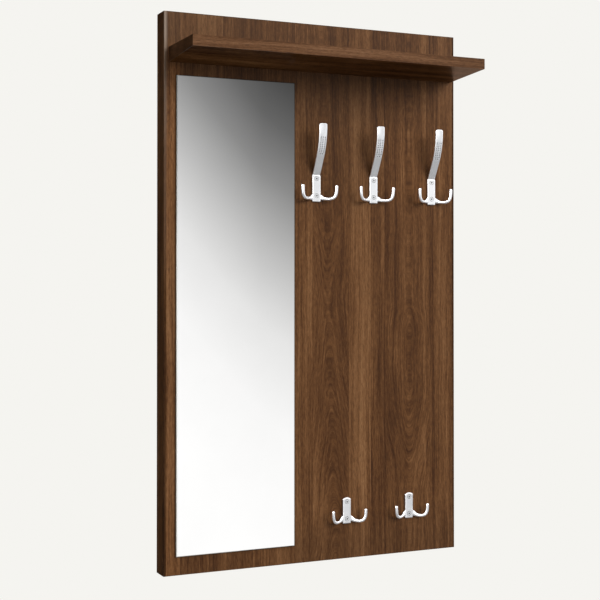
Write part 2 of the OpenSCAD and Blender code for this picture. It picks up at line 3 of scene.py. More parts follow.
import bmesh
import bpy
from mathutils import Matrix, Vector


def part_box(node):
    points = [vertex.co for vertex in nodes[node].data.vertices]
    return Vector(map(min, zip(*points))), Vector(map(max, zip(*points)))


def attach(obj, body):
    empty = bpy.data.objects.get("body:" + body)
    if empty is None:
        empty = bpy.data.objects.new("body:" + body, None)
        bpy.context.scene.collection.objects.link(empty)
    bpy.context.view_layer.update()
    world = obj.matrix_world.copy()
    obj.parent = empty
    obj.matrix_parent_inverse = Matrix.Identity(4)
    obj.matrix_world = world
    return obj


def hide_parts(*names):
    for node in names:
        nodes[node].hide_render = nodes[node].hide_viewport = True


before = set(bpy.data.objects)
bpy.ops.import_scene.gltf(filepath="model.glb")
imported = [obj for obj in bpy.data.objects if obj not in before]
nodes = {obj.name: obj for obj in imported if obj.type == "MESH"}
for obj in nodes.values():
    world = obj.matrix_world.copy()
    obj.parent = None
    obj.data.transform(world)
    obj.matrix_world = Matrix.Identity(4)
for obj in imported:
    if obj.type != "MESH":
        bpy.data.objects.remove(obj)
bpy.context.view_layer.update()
scene = bpy.context.scene
scene.view_settings.view_transform = "Standard"


# ---------- camera ----------

# Place (m), tilt and turn (degrees), and nearest and farthest that it sees (m)
CAMERA_AT = (-0.99742, -2.15177, -0.44308)
CAMERA_TILT, CAMERA_TURN = 90.621, -24.503
CLIP_NEAR, CLIP_FAR = 0.05, 60.0
# Width of the sensor and focal length (mm), and upward shift (share of the sensor)
SENSOR_W, LENS, SHIFT_UP = 36.0, 75.195, -0.05683


def make_camera():
    data = bpy.data.cameras.new("camera")
    data.sensor_width = SENSOR_W
    data.lens = LENS
    data.shift_y = SHIFT_UP
    data.clip_start = CLIP_NEAR
    data.clip_end = CLIP_FAR
    obj = bpy.data.objects.new("camera", data)
    obj.location = CAMERA_AT
    obj.rotation_euler = (math.radians(CAMERA_TILT), 0.0, math.radians(CAMERA_TURN))
    scene.collection.objects.link(obj)
    scene.camera = obj


# ---------- node trees ----------

class Tree:
    """Short names for the nodes of one material or world."""

    def __init__(self, tree):
        self.tree = tree
        tree.nodes.clear()

    def add(self, kind, **values):
        node = self.tree.nodes.new(kind)
        for key, value in values.items():
            setattr(node, key, value)
        return node

    def put(self, socket, value):
        """Links a socket to another, or sets it to a constant."""
        if isinstance(value, bpy.types.NodeSocket):
            self.tree.links.new(value, socket)
        else:
            socket.default_value = value

    def math(self, kind, a, b=0.0, clamp=False):
        node = self.add("ShaderNodeMath", operation=kind, use_clamp=clamp)
        self.put(node.inputs[0], a)
        self.put(node.inputs[1], b)
        return node.outputs[0]

    def plus(self, total, *terms):
        for term in terms:
            total = self.math("ADD", total, term)
        return total

    def times(self, product, *factors):
        for factor in factors:
            product = self.math("MULTIPLY", product, factor)
        return product

    def above(self, value, limit):
        return self.math("GREATER_THAN", value, limit)

    def below(self, value, limit):
        return self.math("LESS_THAN", value, limit)

    def step(self, value, low, high, out_low=0.0, out_high=1.0):
        """Smooth step from out_low at low to out_high at high."""
        node = self.add("ShaderNodeMapRange", interpolation_type="SMOOTHSTEP")
        self.put(node.inputs["Value"], value)
        self.put(node.inputs["From Min"], low)
        self.put(node.inputs["From Max"], high)
        self.put(node.inputs["To Min"], out_low)
        self.put(node.inputs["To Max"], out_high)
        return node.outputs["Result"]

    def fall(self, value, low, high):
        """Smooth step from 1 at low to 0 at high."""
        return self.step(value, low, high, 1.0, 0.0)

    def band(self, value, low, high, fall_low, fall_high):
        """Rises to 1 from low to high and falls back to 0 from fall_low to fall_high."""
        return self.times(self.step(value, low, high), self.fall(value, fall_low, fall_high))

    def ridge(self, field, at, half):
        """1 where the field has the value at, fading to 0 within half of it."""
        return self.fall(self.math("ABSOLUTE", self.plus(field, -at)), 0.0, half)

    def vector(self, x, y, z):
        node = self.add("ShaderNodeCombineXYZ")
        self.put(node.inputs[0], x)
        self.put(node.inputs[1], y)
        self.put(node.inputs[2], z)
        return node.outputs[0]

    def split(self, vector):
        node = self.add("ShaderNodeSeparateXYZ")
        self.put(node.inputs[0], vector)
        return node.outputs[0], node.outputs[1], node.outputs[2]

    def noise(self, vector, scale=1.0, detail=2.0, rough=0.5):
        node = self.add("ShaderNodeTexNoise", noise_dimensions="3D")
        self.put(node.inputs["Vector"], vector)
        node.inputs["Scale"].default_value = scale
        node.inputs["Detail"].default_value = detail
        node.inputs["Roughness"].default_value = rough
        return node.outputs["Fac"]

    def about_zero(self, field, size):
        """Noise field moved to lie about zero, times size."""
        return self.times(self.plus(field, -0.5), size)

    def ramp(self, value, stops, kind="LINEAR"):
        node = self.add("ShaderNodeValToRGB")
        node.color_ramp.interpolation = kind
        elements = node.color_ramp.elements
        while len(elements) < len(stops):
            elements.new(0.5)
        for element, (at, color) in zip(elements, stops):
            element.position = at
            if isinstance(color, (int, float)):
                color = (color, color, color)
            element.color = (*color, 1.0)
        self.put(node.inputs[0], value)
        return node.outputs["Color"]

    def mix(self, factor, a, b, kind="MIX"):
        node = self.add("ShaderNodeMix", data_type="RGBA", blend_type=kind)
        self.put(node.inputs["Factor"], factor)
        for name, value in (("A", a), ("B", b)):
            socket = [s for s in node.inputs if s.name == name and s.type == "RGBA"][0]
            if isinstance(value, tuple) and len(value) == 3:
                value = (*value, 1.0)
            self.put(socket, value)
        return [s for s in node.outputs if s.type == "RGBA"][0]

    def dim(self, color, factor):
        """Colour times a number."""
        return self.mix(1.0, color, self.vector(factor, factor, factor), "MULTIPLY")

    def lerp(self, factor, a, b):
        node = self.add("ShaderNodeMix", data_type="FLOAT")
        self.put(node.inputs["Factor"], factor)
        self.put(node.inputs["A"], a)
        self.put(node.inputs["B"], b)
        return node.outputs["Result"]

    def only(self, where, value):
        """The value where the mask is 1, and 1 elsewhere."""
        return self.lerp(where, 1.0, value)


def new_material(name):
    material = bpy.data.materials.new(name)
    material.use_nodes = True
    return material, Tree(material.node_tree)


def finish_material(t, color, rough, height, bump, distance, **inputs):
    """Shader and output of a material, with a bump of height and more inputs by name."""
    shader = t.add("ShaderNodeBsdfPrincipled")
    t.put(shader.inputs["Base Color"], color)
    t.put(shader.inputs["Roughness"], rough)
    for key, value in inputs.items():
        t.put(shader.inputs[key.replace("_", " ")], value)
    node = t.add("ShaderNodeBump")
    node.inputs["Strength"].default_value = bump
    node.inputs["Distance"].default_value = distance
    t.put(node.inputs["Height"], height)
    t.put(shader.inputs["Normal"], node.outputs["Normal"])
    out = t.add("ShaderNodeOutputMaterial")
    t.put(out.inputs["Surface"], shader.outputs[0])


def object_mm(t):
    """Object coordinates in millimetres, as three sockets."""
    coord = t.add("ShaderNodeTexCoord")
    scaled = t.add("ShaderNodeVectorMath", operation="SCALE")
    t.put(scaled.inputs[0], coord.outputs["Object"])
    scaled.inputs["Scale"].default_value = 1000.0
    return t.split(scaled.outputs[0])


# ---------- places on the object (mm) ----------

def box_mm(node):
    """Lowest and highest corner of a CAD node."""
    return [corner * 1000.0 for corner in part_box(node)]


PANEL_LEFT = box_mm("left_lipping")[0].x
PANEL_FOOT = box_mm("bottom_band")[0].z
PANEL_TOP = box_mm("top_band")[1].z
FRONT_FACE = box_mm("front_board")[0].y
MIRROR_LOW, MIRROR_HIGH = box_mm("mirror_glass")
# Heights between which the board's shade changes, mostly behind the shelf
SHELF_FOOT, SHELF_TOP = -60.0, -20.0


def share_between(t, value, low, high):
    """0 at low and 1 at high, in a straight line."""
    return t.times(t.plus(value, -low), 1.0 / (high - low))


def height_share(t, z):
    """0 at the foot of the panel and 1 at its top."""
    return share_between(t, z, PANEL_FOOT, PANEL_TOP)


# ---------- walnut ----------

# Left edge of each veneer leaf (mm from the left), its tone and its place in the grain noise
LEAVES = (
    (0, 0.57, 0.13), (30, 0.46, 0.71), (110, 0.43, 0.37), (178, 0.50, 0.93),
    (252, 0.53, 0.25), (290, 0.49, 0.55), (313, 0.42, 0.55), (365, 0.63, 0.80),
    (411, 0.38, 0.05), (442, 0.37, 0.45), (476, 0.46, 0.45), (491, 0.53, 0.45),
    (512, 0.48, 0.45), (533, 0.43, 0.67), (550, 0.57, 0.67), (571, 0.43, 0.67))
# Width over which the leaves are laid out (mm)
LEAVES_W = 596.0
# Joints that show as a dark line: place (mm from the left) and depth; reach as a share of the width
JOINTS = ((365, 0.35), (442, 1.0), (550, 0.35))
JOINT_REACH = 0.0032
JOINT_TONE = -0.20

# Upright figures of the wide board (mm): axis, height of the waist, half height of the straight middle,
# reach below and above the waist, stretch along the grain, rounding at the axis, and 1 for closed ovals
# or -1 for arches that open away from the waist
ARCHES_WAIST = -490.0
ARCHES = (25.0, ARCHES_WAIST, 0.0, 480.0, 170.0, 7.5, 14.0, -1.0)
OVALS = (198.0, -595.0, 45.0, 240.0, 100.0, 4.6, 13.0, 1.0)
# Lean of the arches' axis (mm sideways for each mm up)
ARCHES_LEAN = 0.030
# Height over which the nose of a figure is rounded, and distances from the axis at which it ends (mm)
NOSE = 30.0
FIGURE_REACH = (16.0, 34.0)
# Left and right side of the leaves that carry the figures, and heights between which these fade (mm)
ARCHES_LEAF = (-8.0, 67.0)
ARCHES_END = (-340.0, -290.0)
OVALS_LEAF = (144.0, 241.0)
OVALS_START, OVALS_END = (-860.0, -820.0), (-520.0, -480.0)
# Way in the noise for a whole leaf, and for each mm from a figure's axis
LEAF_SHIFT = 60.0
SIDE_SHIFT = 0.02

# Sway of straight grain: changes across, through and along the board (per mm), and its size (mm)
SWAY_OFTEN = (0.008, 0.01, 0.0042)
SWAY_SIZE = 15.0
# Waves and ripples of the leaves: changes across and along (per mm), place in the noise, roughness and
# size (mm)
WAVES = (0.012, 0.008, 5.0, 0.5, 16.0)
RIPPLES = (0.05, 0.022, 9.0, 0.6, 4.0)

# Fields of the grain: size across and along it (mm), place in the noise, detail and roughness
GRAIN = {
    "bands": (40.0, 1100.0, 0.0, 1.0, 0.50),
    "lines": (13.0, 700.0, 0.0, 3.0, 0.68),
    "fine": (3.3, 220.0, 31.0, 2.0, 0.75),
    "patch": (55.0, 260.0, 0.0, 2.0, 0.50),
    "fibre": (2.2, 13.0, 0.0, 3.0, 0.75),
    "veins": (9.0, 600.0, 17.0, 2.0, 0.60),
    "rings": (4.0, 900.0, 47.0, 1.0, 0.50),
    "pores": (1.3, 11.0, 0.0, 1.0, 0.50)}
# What each part of the grain adds to the tone
SHARE = {
    "bands": 0.42, "lines": 0.98, "fine": 1.02, "patch": 0.62, "fibre": 1.05,
    "veins": -0.09, "pale_rings": 0.12, "dark_rings": -0.08}
# Value of the field on which a kind of line lies, and how far from it the line fades
LINE_AT = {"veins": (0.50, 0.026), "pale_rings": (0.50, 0.05), "dark_rings": (0.62, 0.06)}
# What a figure takes from the bands and the fine grain, and from the lines
CALM, CALM_LINES = 0.40, 0.72
# Thickness of a fibre and of a pore through the board (mm), and way in the noise for each mm of depth
FIBRE_T, PORE_T = 3.4, 1.3
DEPTH_SHIFT = 0.035
# Values of the pore field between which the wood closes, and how dark an open pore is
PORE_OPEN = (0.30, 0.42)
PORE_DARK = 0.42

WALNUT_TONES = (
    (0.00, (0.0290, 0.0090, 0.0016)), (0.25, (0.0595, 0.0222, 0.0064)), (0.50, (0.1090, 0.0460, 0.0162)),
    (0.75, (0.1690, 0.0785, 0.0318)), (1.00, (0.2370, 0.1200, 0.0530)))
PORE_COLOR = (0.040, 0.017, 0.0070)

# Shade of the wide board, as factors of its tone, with places in mm. Dark line beside the mirror, painted
# shade: where it fades, from the glass's right edge, and its reach to the left, below and above the glass
LINE_TONE, LINE_FADE = 0.62, (2.4, 5.0)
LINE_LEFT, LINE_BELOW, LINE_ABOVE = 3.0, 2.5, 2.0
# Foot: heights above the panel's foot between which it fades, its tones on both sides of the glass's
# right edge, and where they meet, from that edge
FOOT_FADE = (22.0, 107.0)
FOOT_TONES, FOOT_MEET = (0.93, 0.80), (-1.0, 7.0)
# Strip left of the mirror, painted light against the shelf's shadow: its reach over the glass's left edge,
# and half its tone by height share
STRIP_REACH = 8.0
STRIP_TONES = (
    (0.06, 0.64), (0.32, 0.52), (0.49, 0.50), (0.66, 0.64), (0.84, 0.75), (0.90, 0.82), (0.955, 0.40))
# Above the shelf: tones on the left and on the right, and places between which they change
TOP_TONES, TOP_CHANGE = (0.78, 1.0), (-220.0, 140.0)
# The same right of the mirror below the shelf, with its start, from the glass's right edge, and the
# heights between which it sets in
HIGH_TONES, HIGH_CHANGE = (0.85, 1.10), (80.0, 190.0)
HIGH_START, HIGH_RISE = 2.0, (-350.0, -240.0)
# Painted sheen, a pale haze towards the top: heights between which it comes, and how much of it
SHEEN_COLOR = (0.30, 0.24, 0.20)
SHEEN_RISE, SHEEN = (-260.0, 10.0), 0.032

# Left front edge, painted shade towards the foot and a painted highlight towards the top: its tone and how
# strong the highlight is, by height share
EDGE_SHADE = ((0.0, 0.55), (0.20, 0.58), (0.35, 0.72), (0.52, 0.95), (0.62, 1.0))
EDGE_HIGHLIGHT = ((0.50, 0.0), (0.60, 0.08), (0.757, 0.16), (0.86, 0.44), (0.925, 0.50), (0.958, 0.92))
HIGHLIGHT_COLOR = (0.33, 0.26, 0.215)
# Where it fades behind the front face, and how far from the panel's left side for its painted shade and
# for its painted highlight (mm)
EDGE_BACK, EDGE_DARK, EDGE_PALE = (0.4, 1.8), (2.0, 5.0), (1.5, 8.0)

# Where the gloss over the mirror changes, left of the glass's right edge (mm)
GLOSS_FROM, GLOSS_TO = 47.0, 13.0


def straight_grain(t, across, depth, length):
    """Grain coordinate (mm) of nearly straight grain."""
    place = t.vector(*(t.times(way, often) for way, often in zip((across, depth, length), SWAY_OFTEN)))
    return t.plus(across, t.about_zero(t.noise(place), SWAY_SIZE))


def waves(t, x, z, often_x, often_z, place, rough, size):
    """How far waves push the grain sideways (mm)."""
    field = t.noise(t.vector(t.times(x, often_x), place, t.times(z, often_z)), rough=rough)
    return t.about_zero(field, size)


def folded(t, a, reach):
    """Distance from an axis, rounded off within reach of it."""
    size = t.math("ABSOLUTE", a)
    near = t.math("MINIMUM", size, reach)
    return t.plus(t.times(near, near, 0.5 / reach), size, t.times(near, -1.0))


def figure_grain(t, x, z, axis, waist, straight, below, above, stretch, reach, sign):
    """Grain coordinate of a figure about an upright axis, and the distance from that axis."""
    a = t.plus(x, -axis)
    b = t.math("MINIMUM", t.math("MAXIMUM", t.plus(z, -waist), -below), above)
    b = t.math("MAXIMUM", t.plus(t.math("ABSOLUTE", b), -straight), 0.0)
    far = t.math("SQRT", t.plus(t.times(b, b), NOSE ** 2))
    return t.plus(folded(t, a, reach), t.times(far, sign / stretch)), a


def figure_share(t, a, leaf, height):
    """1 in the middle of a figure's leaf, within its height."""
    return t.times(leaf, t.fall(t.math("ABSOLUTE", a), *FIGURE_REACH), height)


def leaf_tones(t, x):
    """Tone of each leaf with its joints, and its place in the noise."""
    place = share_between(t, x, -LEAVES_W / 2, LEAVES_W / 2)
    leaves = [(left / LEAVES_W, (tone, offset, 0.0)) for left, tone, offset in LEAVES]
    tone, offset, _ = t.split(t.ramp(place, leaves, "CONSTANT"))
    stops = []
    for left, depth in JOINTS:
        middle = left / LEAVES_W
        stops += [(middle - JOINT_REACH, 0.0), (middle, depth), (middle + JOINT_REACH, 0.0)]
    return t.plus(tone, t.times(t.ramp(place, stops), JOINT_TONE)), t.times(offset, LEAF_SHIFT)


def board_grain(t, x, y, z):
    """Grain coordinate, place in the noise, figure share and tone of the wide board, leaf by leaf."""
    bent = t.plus(x, t.plus(waves(t, x, z, *WAVES), waves(t, x, z, *RIPPLES)))
    lean = t.times(t.plus(z, -ARCHES_WAIST), ARCHES_LEAN)
    arches, from_arches = figure_grain(t, t.plus(bent, lean), z, *ARCHES)
    ovals, from_ovals = figure_grain(t, bent, z, *OVALS)
    in_arches, in_ovals = (t.times(t.above(x, left), t.below(x, right))
                           for left, right in (ARCHES_LEAF, OVALS_LEAF))
    rho = t.lerp(in_arches, straight_grain(t, x, y, z), arches)
    rho = t.lerp(in_ovals, rho, ovals)
    side = t.times(t.plus(t.times(in_arches, from_arches), t.times(in_ovals, from_ovals)), SIDE_SHIFT)
    figure = t.plus(
        figure_share(t, from_arches, in_arches, t.fall(z, *ARCHES_END)),
        figure_share(t, from_ovals, in_ovals, t.band(z, *OVALS_START, *OVALS_END)))
    tone, shift = leaf_tones(t, x)
    return rho, t.plus(shift, side), figure, tone


def grain_field(t, name, across, seed, length):
    """Noise field that is drawn out along the grain."""
    wide, long, place, detail, rough = GRAIN[name]
    vector = t.vector(t.times(across, 1 / wide), t.plus(seed, place), t.times(length, 1 / long))
    return t.noise(vector, 1.0, detail, rough)


def grain_part(t, name, across, seed, length):
    """What a field adds to the tone."""
    return t.about_zero(grain_field(t, name, across, seed, length), SHARE[name])


def line_part(t, name, field):
    """What a kind of line in a field adds to the tone."""
    return t.times(t.ridge(field, *LINE_AT[name]), SHARE[name])


def grain_tone(t, rho, seed, across, length, figure):
    """Tone of the grain, about zero: calmer, and with rings, where the figure is."""
    crisp = t.plus(1.0, t.times(figure, -CALM))
    bold = t.plus(1.0, t.times(figure, -CALM_LINES))
    rings = grain_field(t, "rings", rho, seed, length)
    ringed = t.plus(line_part(t, "pale_rings", rings), line_part(t, "dark_rings", rings))
    return t.plus(
        t.times(grain_part(t, "bands", rho, seed, length), crisp),
        t.times(grain_part(t, "lines", rho, seed, length), bold),
        t.times(grain_part(t, "fine", rho, seed, length), crisp),
        grain_part(t, "patch", across, seed, length),
        line_part(t, "veins", grain_field(t, "veins", rho, seed, length)),
        t.times(ringed, figure))


def board_shade(t, x, z):
    """Shade of the wide board: a painted shade line beside the mirror, the foot, the strip left of the
    mirror with painted light under the shelf, and the parts above and below the shelf."""
    from_right = t.plus(x, -MIRROR_HIGH.x)
    from_foot = t.plus(z, -PANEL_FOOT)
    # Painted shade: a dark line beside the glass's right edge
    line = t.times(t.above(from_right, -LINE_LEFT), t.above(z, MIRROR_LOW.z - LINE_BELOW),
                   t.below(z, MIRROR_HIGH.z + LINE_ABOVE))
    line = t.only(line, t.step(from_right, *LINE_FADE, LINE_TONE, 1.0))
    foot = t.step(from_foot, *FOOT_FADE, t.step(from_right, *FOOT_MEET, *FOOT_TONES), 1.0)
    # Painted light: the strip left of the mirror is lightened below the shelf, where its shadow falls
    strip = t.times(t.ramp(height_share(t, z), STRIP_TONES), 2.0)
    strip = t.only(t.below(x, MIRROR_LOW.x + STRIP_REACH), strip)
    top = t.only(t.step(z, SHELF_FOOT, SHELF_TOP), t.step(x, *TOP_CHANGE, *TOP_TONES))
    high = t.times(t.band(z, *HIGH_RISE, SHELF_FOOT, SHELF_TOP), t.above(from_right, HIGH_START))
    high = t.only(high, t.step(x, *HIGH_CHANGE, *HIGH_TONES))
    return t.times(line, foot, strip, top, high)


def painted_edge_light(t, x, y, z, color):
    """Left front edge of the panel: painted highlight towards the top, painted shade towards the foot."""
    from_left = t.plus(x, -PANEL_LEFT)
    front = t.fall(t.plus(y, -FRONT_FACE), *EDGE_BACK)
    height = height_share(t, z)
    dark = t.times(front, t.fall(from_left, *EDGE_DARK))
    pale = t.times(front, t.fall(from_left, *EDGE_PALE))
    color = t.dim(color, t.only(dark, t.ramp(height, EDGE_SHADE)))
    return t.mix(t.times(t.ramp(height, EDGE_HIGHLIGHT), pale), color, HIGHLIGHT_COLOR)


def walnut(name, along, level=1.0, board=False, edge_light=False, rough=0.50, specular=0.20,
           tint=(1.0, 1.0, 1.0), gloss_tint=(1.0, 1.0, 1.0), gloss_left=1.0):
    """Walnut with its grain along an axis.

    board adds the figured leaves of the wide front board, the edge flag a painted highlight and painted
    shade on its left front edge, and gloss_left is the share of the gloss that is left over the mirror.
    """
    material, t = new_material(name)
    x, y, z = object_mm(t)
    across, depth, length = (x, y, z) if along == "z" else (z, y, x)
    if board:
        rho, seed, figure, tone = board_grain(t, x, y, z)
    else:
        rho, seed = straight_grain(t, across, depth, length), t.times(depth, DEPTH_SHIFT)
        figure, tone = 0.0, 0.5
    fibre = grain_field(t, "fibre", rho, t.times(depth, 1 / FIBRE_T), length)
    pores = grain_field(t, "pores", across, t.times(depth, 1 / PORE_T), length)
    value = t.plus(grain_tone(t, rho, seed, across, length, figure),
                   t.about_zero(fibre, SHARE["fibre"]), tone)
    color = t.ramp(value, WALNUT_TONES)
    color = t.mix(t.step(pores, *PORE_OPEN, PORE_DARK, 0.0), color, PORE_COLOR)
    shade = t.times(board_shade(t, x, z), level) if board else level
    color = t.mix(1.0, color, t.vector(*(t.times(shade, part) for part in tint)), "MULTIPLY")
    if board:
        # Painted sheen: the board turns paler towards the top
        color = t.mix(t.step(z, *SHEEN_RISE, 0.0, SHEEN), color, SHEEN_COLOR)
    # Painted highlight towards the top and painted shade towards the foot of the left front edge
    if edge_light:
        color = painted_edge_light(t, x, y, z, color)
    if gloss_left < 1.0:
        right = MIRROR_HIGH.x
        specular = t.step(x, right - GLOSS_FROM, right - GLOSS_TO, specular * gloss_left, specular)
    roughness = t.plus(rough, t.about_zero(fibre, 0.25))
    height = t.plus(t.times(pores, 0.6), t.times(fibre, 0.4))
    finish_material(t, color, roughness, height, 0.16, 0.00012, Specular_IOR_Level=specular,
                    Specular_Tint=(*gloss_tint, 1.0))
    return material


# ---------- other materials ----------

CORE_TONES = ((0.15, (0.23, 0.135, 0.07)), (0.45, (0.46, 0.32, 0.19)), (0.85, (0.62, 0.48, 0.32)))
# Painted shade on the mirror's ground edge: how bright it stays, by share of the glass's height
GROUND_SHADE = ((0.50, 1.0), (0.63, 0.90), (0.71, 0.66), (0.79, 0.52), (0.87, 0.36), (0.99, 0.26))
# What is left of that on the right, and where it changes (mm)
GROUND_RIGHT, GROUND_CHANGE = 0.45, (-160.0, -150.0)
# Painted shade: dark metal behind a face, and how far behind it the metal darkens (mm)
RECESS_COLOR, RECESS_FADE = (0.02, 0.02, 0.022), (0.15, 0.45)


def core_board():
    material, t = new_material("core_board")
    x, y, z = object_mm(t)
    chips = t.add("ShaderNodeTexVoronoi", feature="F1")
    t.put(chips.inputs["Vector"], t.vector(x, t.times(y, 1.6), z))
    chips.inputs["Scale"].default_value = 0.42
    chip = t.split(chips.outputs["Color"])[0]
    dust = t.noise(t.vector(x, y, z), 2.2, 3.0, 0.6)
    tone = t.plus(t.times(chip, 0.7), t.times(dust, 0.3))
    roughness = t.plus(0.72, t.times(dust, 0.15))
    finish_material(t, t.ramp(tone, CORE_TONES), roughness, tone, 0.35, 0.0003, Specular_IOR_Level=0.25)
    return material


def beech():
    material, t = new_material("beech")
    x, y, z = object_mm(t)
    grain = t.noise(t.vector(t.times(x, 1.2), t.times(y, 0.06), t.times(z, 1.2)), 1.0, 3.0, 0.6)
    fleck = t.noise(t.vector(t.times(x, 4.0), t.times(y, 0.6), t.times(z, 4.0)))
    color = t.ramp(grain, [(0.3, (0.42, 0.24, 0.12)), (0.7, (0.68, 0.47, 0.28))])
    color = t.mix(t.step(fleck, 0.58, 0.7, 0.0, 0.4), color, (0.33, 0.18, 0.09))
    finish_material(t, color, t.plus(0.55, t.times(grain, 0.15)), grain, 0.2, 0.0002)
    return material


def mirror_glass():
    """Silvered face, and frosted ground glass on the arris and the cut edges, with painted shade that
    darkens the ground glass and its reflection towards the top and on the right.
    """
    material, t = new_material("mirror_glass")
    x, y, z = object_mm(t)
    coord = t.add("ShaderNodeTexCoord")
    facing = t.math("ABSOLUTE", t.split(coord.outputs["Normal"])[1])
    edge = t.fall(facing, 0.80, 0.95)
    film = t.noise(t.vector(x, y, z), 0.011, 3.0, 0.5)
    grind = t.noise(t.vector(x, y, z), 1.4, 2.0, 0.6)
    height = share_between(t, z, MIRROR_LOW.z, MIRROR_HIGH.z)
    # Painted shade: the ground glass darker, and less metallic, towards the top and on the right
    shaded_ground = t.times(t.ramp(height, GROUND_SHADE), t.step(x, *GROUND_CHANGE, 1.0, GROUND_RIGHT))
    silver = t.ramp(film, [(0.3, (0.972, 0.969, 0.962)), (0.7, (0.992, 0.989, 0.982))])
    ground = t.ramp(grind, [(0.3, (0.78, 0.79, 0.77)), (0.7, (0.90, 0.905, 0.885))])
    color = t.mix(edge, silver, t.dim(ground, shaded_ground))
    frost = t.times(edge, t.plus(0.18, t.times(grind, 0.12)))
    roughness = t.plus(0.012, t.times(film, 0.012), frost)
    finish_material(t, color, roughness, t.times(grind, edge), 0.15, 0.00008,
                    Metallic=t.lerp(edge, 1.0, t.times(shaded_ground, 0.35)), Specular_IOR_Level=0.06)
    return material


def plain(name, dark, light, rough, scale):
    material, t = new_material(name)
    mottle = t.noise(t.vector(*object_mm(t)), scale, 3.0, 0.6)
    color = t.ramp(mottle, [(0.3, dark), (0.7, light)])
    finish_material(t, color, t.plus(rough, t.about_zero(mottle, 0.15)), mottle, 0.15, 0.0002,
                    Specular_IOR_Level=0.4)
    return material


def metal(name, dark, light, rough, cast_scale=2.2, brush=0.0, bump=0.05, face=None):
    """Metal with a fine surface: an even cast grain, with a share of brushing along z.

    Behind the plane y = face, where there is one, it is dark as painted shade.
    """
    material, t = new_material(name)
    x, y, z = object_mm(t)
    cast = t.noise(t.vector(x, y, z), cast_scale, 3.0, 0.55)
    soft = t.noise(t.vector(x, y, z), 0.05)
    lines = t.noise(t.vector(t.times(x, 5.0), t.times(y, 5.0), t.times(z, 0.12)), rough=0.6)
    surface = t.lerp(brush, cast, lines)
    tone = t.plus(t.times(surface, 0.5), t.times(soft, 0.5))
    color = t.ramp(tone, [(0.30, dark), (0.68, light)])
    # Painted shade in the recess behind the face
    if face is not None:
        color = t.mix(t.step(t.plus(y, -face), *RECESS_FADE), color, RECESS_COLOR)
    roughness = t.plus(rough, t.about_zero(surface, 0.16))
    finish_material(t, color, roughness, surface, bump, 0.00015, Metallic=1.0)
    return material


# ---------- hooks (mm, upright, with the plate's back on y = 0 and its front towards +y) ----------

# Widths of plate and arm, their thickness, and the rounding of the front and back edges
HOOK_W = 16.9
ARM_W = 15.6
HOOK_T = 4.2
EDGE_R = 1.7
BACK_R = 0.6
# Plates: heights, radius of the foot corners and of the lower plate's domed top, and chamfer at the back
PLATE_H = 49.3
LOWER_PLATE_H = 49.0
FOOT_R = 1.2
DOME_R = 12.5
PLATE_CHAMFER = 0.5
# Steps in a rounded edge
EDGE_STEPS = 6
# How far the root of the arm is set back, and the height over which it comes forward
ARM_SET_BACK = 0.8
SET_BACK_H = 18.0
# Depth of the faint hollow along the front of the arm
CROWN = 0.28
# Radius of the prongs' rods
ROD_R = 2.95
# Heights below the plate's top of the arm's two lowest sections, and the hollow of each
ROOT_SECTIONS = ((3.0, 0.0), (0.4, 0.1))

# Long arm: lean at its root and where it leans most, radii of the curves below and above that place,
# the tip's height, corner radius and turn (degrees), and steps of the curves and the tip
ROOT_A, LEAN_A = math.radians(26.0), math.radians(28.5)
LOW_R, UP_R = 800.0, 119.0
TIP_H, TIP_R, TIP_TURN = 6.5, 3.2, 88.0
LOW_STEPS, UP_STEPS, TIP_STEPS = 20, 40, 10
MID_Y = HOOK_T + LOW_R * (math.cos(ROOT_A) - math.cos(LEAN_A))
MID_Z = PLATE_H + LOW_R * (math.sin(LEAN_A) - math.sin(ROOT_A))
END_Y = MID_Y + UP_R * (1 - math.cos(LEAN_A))
END_Z = MID_Z + UP_R * math.sin(LEAN_A)

# Prongs: reach to the side and forward, and heights of the root, the lowest place and the tip
UPPER_PRONGS = (26.1, 16.0, 8.6, 5.4, 28.6)
LOWER_PRONGS = (25.5, 12.7, 9.2, 4.2, 24.9)
# Stations of a prong: shares of its reach to the side and forward, of its root's and of its tip's height
# above the lowest place, half thickness and half height in rod radii, and share of its turn
PRONG = (
    (-0.17, 0.00, 1.00, 0.00, 0.54, 1.75, 0.00), (0.00, 0.01, 1.00, 0.00, 0.57, 1.70, 0.38),
    (0.17, 0.13, 0.45, 0.00, 0.75, 1.30, 1.07), (0.38, 0.37, 0.10, 0.00, 0.92, 1.04, 1.20),
    (0.61, 0.64, 0.00, 0.01, 1.00, 1.00, 1.04), (0.83, 0.85, 0.00, 0.11, 1.00, 1.00, 0.91),
    (0.95, 0.95, 0.00, 0.34, 1.00, 1.00, 0.82), (0.99, 0.99, 0.00, 0.66, 1.00, 1.00, 0.79),
    (1.00, 1.00, 0.00, 1.00, 1.00, 1.00, 0.79))
# Steps from station to station, and sides of a section
PRONG_STEPS = 6
PRONG_SIDES = 24

# Heights of the screw holes, and their outline: height above the plate's back and radius
UPPER_SCREWS = (11.5, 43.5)
LOWER_SCREWS = (9.0, 41.0)
HOLE = ((-1.0, 2.1), (HOOK_T - 2.0, 2.1), (HOOK_T - 0.35, 4.0), (HOOK_T + 1.0, 5.35))
HOLE_SIDES = 48

# Dimples on the arm: first height, pitch along the arm, spread across it, rows, radius and depth, and
# radius of the bottom that carries painted shade
DIMPLE_Z = 90.5
DIMPLE_PITCH = 3.45
DIMPLE_SPREAD = 4.3
DIMPLE_ROWS = 9
DIMPLE_R = 1.45
DIMPLE_DEPTH = 0.50
DIMPLE_SHADE_R = 1.35
# Hollow shape: power of the fall from the middle to the rim
DIMPLE_POWER = 1.3
# Zone of the arm that holds them all: heights, half width, and thickness at the front face
DIMPLE_ZONE = (82, 128)
DIMPLE_HALF_W = 6.5
DIMPLE_NEAR = 3.0

